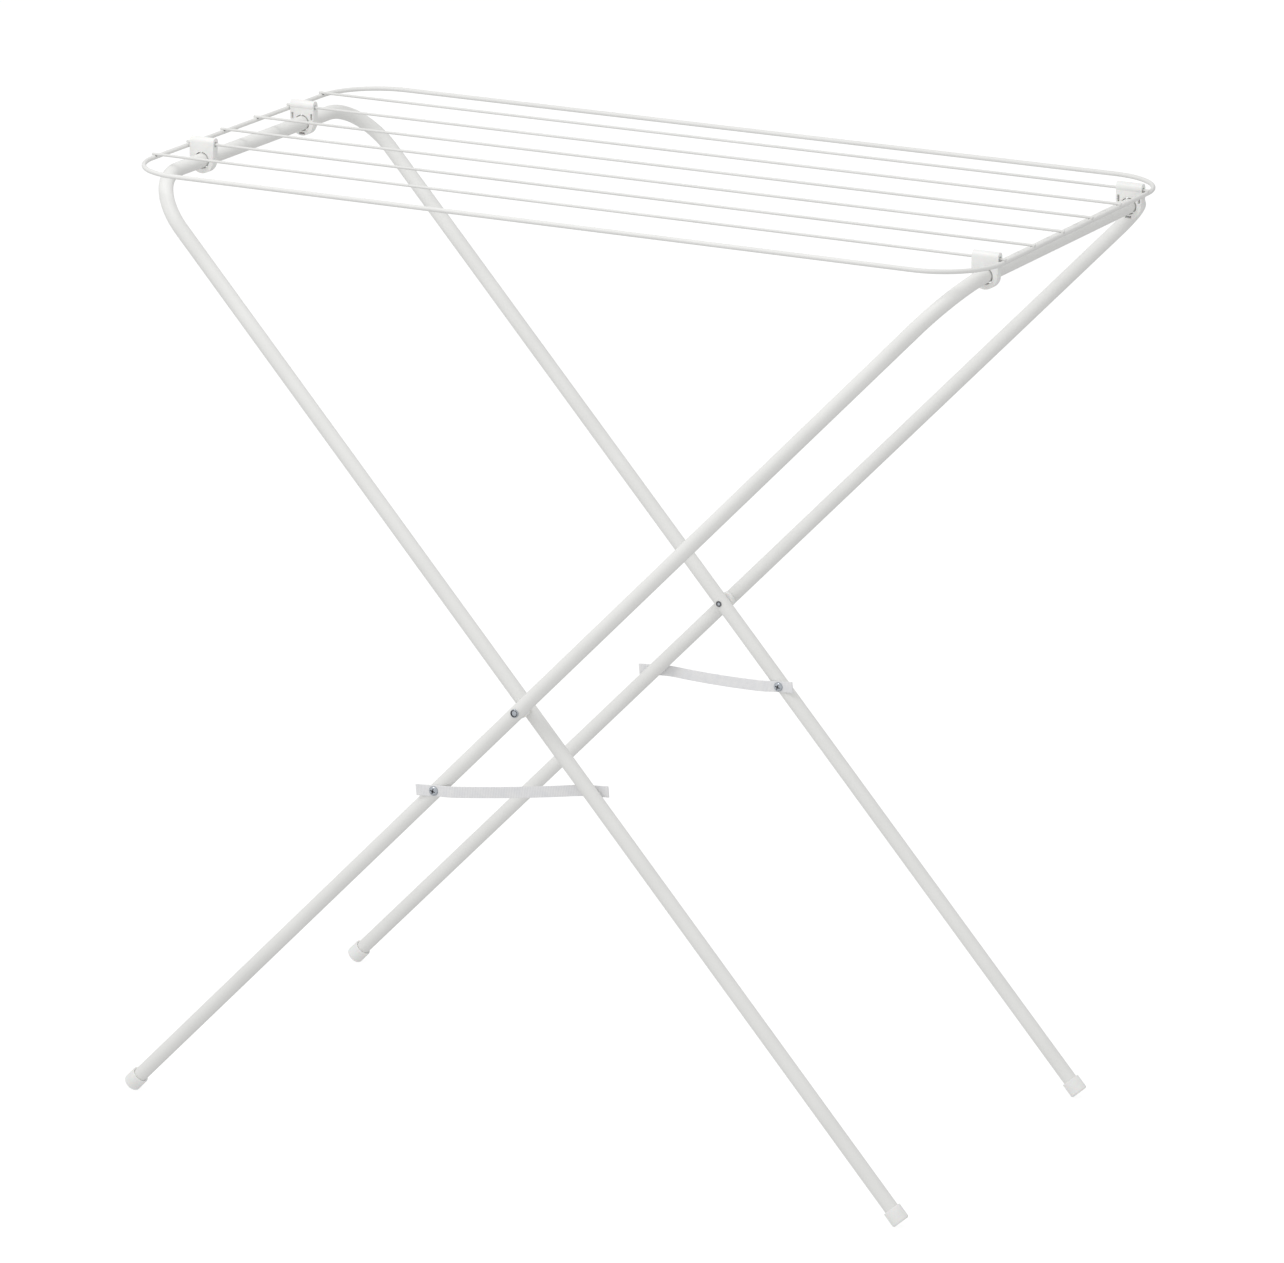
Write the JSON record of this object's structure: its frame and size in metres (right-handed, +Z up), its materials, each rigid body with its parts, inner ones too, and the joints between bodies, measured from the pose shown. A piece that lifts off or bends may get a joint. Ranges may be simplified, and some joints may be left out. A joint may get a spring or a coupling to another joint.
{
  "type": "clothes drying rack",
  "caption": "Free-standing folding clothes drying rack: crossed tubular steel legs carrying a flat wire grid, with webbing straps that stop the legs spreading.",
  "frame": {"origin": "centre of the footprint's bounding box on the floor", "axes": "+X along the drying wires towards the outer frame's top bar, +Y across the rack towards its rear side, +Z up"},
  "size_m": [1.0285, 0.5258, 1.0626],
  "materials": {
    "outer_frame_top_bar": "white powder coat",
    "outer_frame_leg_front": "white powder coat",
    "outer_frame_leg_rear": "white powder coat",
    "inner_frame_top_bar": "white powder coat",
    "inner_frame_leg_front": "white powder coat",
    "inner_frame_leg_rear": "white powder coat",
    "grid_rim": "white powder coat",
    "drying_wire_1": "white powder coat",
    "drying_wire_2": "white powder coat",
    "drying_wire_3": "white powder coat",
    "drying_wire_4": "white powder coat",
    "drying_wire_5": "white powder coat",
    "drying_wire_6": "white powder coat",
    "inner_foot_cap_front": "satin moulded white plastic",
    "inner_foot_cap_rear": "satin moulded white plastic",
    "outer_foot_cap_front": "satin moulded white plastic",
    "outer_foot_cap_rear": "satin moulded white plastic",
    "snap_clip_front": "satin moulded white plastic",
    "snap_clip_rear": "satin moulded white plastic",
    "hinge_clip_front": "satin moulded white plastic",
    "hinge_clip_rear": "satin moulded white plastic",
    "pivot_spacer_front": "satin moulded white plastic",
    "pivot_spacer_rear": "satin moulded white plastic",
    "pivot_rivet_front": "zinc-plated steel",
    "pivot_rivet_rear": "zinc-plated steel",
    "strap_screw_inner_front": "zinc-plated steel",
    "strap_screw_inner_rear": "zinc-plated steel",
    "strap_screw_outer_front": "zinc-plated steel",
    "strap_screw_outer_rear": "zinc-plated steel",
    "strap_front": "ribbed woven webbing",
    "strap_rear": "ribbed woven webbing"
  },
  "bodies": {
    "outer_frame": {"outer_frame_top_bar": "outer_frame_top_bar", "outer_frame_leg_front": "outer_frame_leg_front", "outer_frame_leg_rear": "outer_frame_leg_rear", "outer_foot_cap_front": "outer_foot_cap_front", "outer_foot_cap_rear": "outer_foot_cap_rear", "pivot_rivet_front": "pivot_rivet_front", "pivot_rivet_rear": "pivot_rivet_rear", "pivot_spacer_front": "pivot_spacer_front", "pivot_spacer_rear": "pivot_spacer_rear", "strap_screw_outer_front": "strap_screw_outer_front", "strap_screw_outer_rear": "strap_screw_outer_rear", "strap_front": "strap_front", "strap_rear": "strap_rear"},
    "inner_frame": {"inner_frame_top_bar": "inner_frame_top_bar", "inner_frame_leg_front": "inner_frame_leg_front", "inner_frame_leg_rear": "inner_frame_leg_rear", "inner_foot_cap_front": "inner_foot_cap_front", "inner_foot_cap_rear": "inner_foot_cap_rear", "strap_screw_inner_front": "strap_screw_inner_front", "strap_screw_inner_rear": "strap_screw_inner_rear"},
    "grid": {"grid_rim": "grid_rim", "drying_wire_1": "drying_wire_1", "drying_wire_2": "drying_wire_2", "drying_wire_3": "drying_wire_3", "drying_wire_4": "drying_wire_4", "drying_wire_5": "drying_wire_5", "drying_wire_6": "drying_wire_6", "snap_clip_front": "snap_clip_front", "snap_clip_rear": "snap_clip_rear", "hinge_clip_front": "hinge_clip_front", "hinge_clip_rear": "hinge_clip_rear"}
  },
  "joints": [
    {"name": "frame_fold", "type": "hinge", "parent": "outer_frame", "child": "inner_frame", "pos_m": [-0.0166, 0, 0.5128], "axis": [0, 1, 0], "range_deg": [0, 85.9], "deforming": ["strap_front", "strap_rear"]},
    {"name": "grid_lift", "type": "hinge", "parent": "outer_frame", "child": "grid", "pos_m": [0.49231, 0, 1.0374], "axis": [0, 1, 0], "range_deg": [0, 134.1]}
  ],
  "couplings": [
    {"joint": "grid_lift", "follows": "frame_fold", "ratio": 1.56}
  ]
}
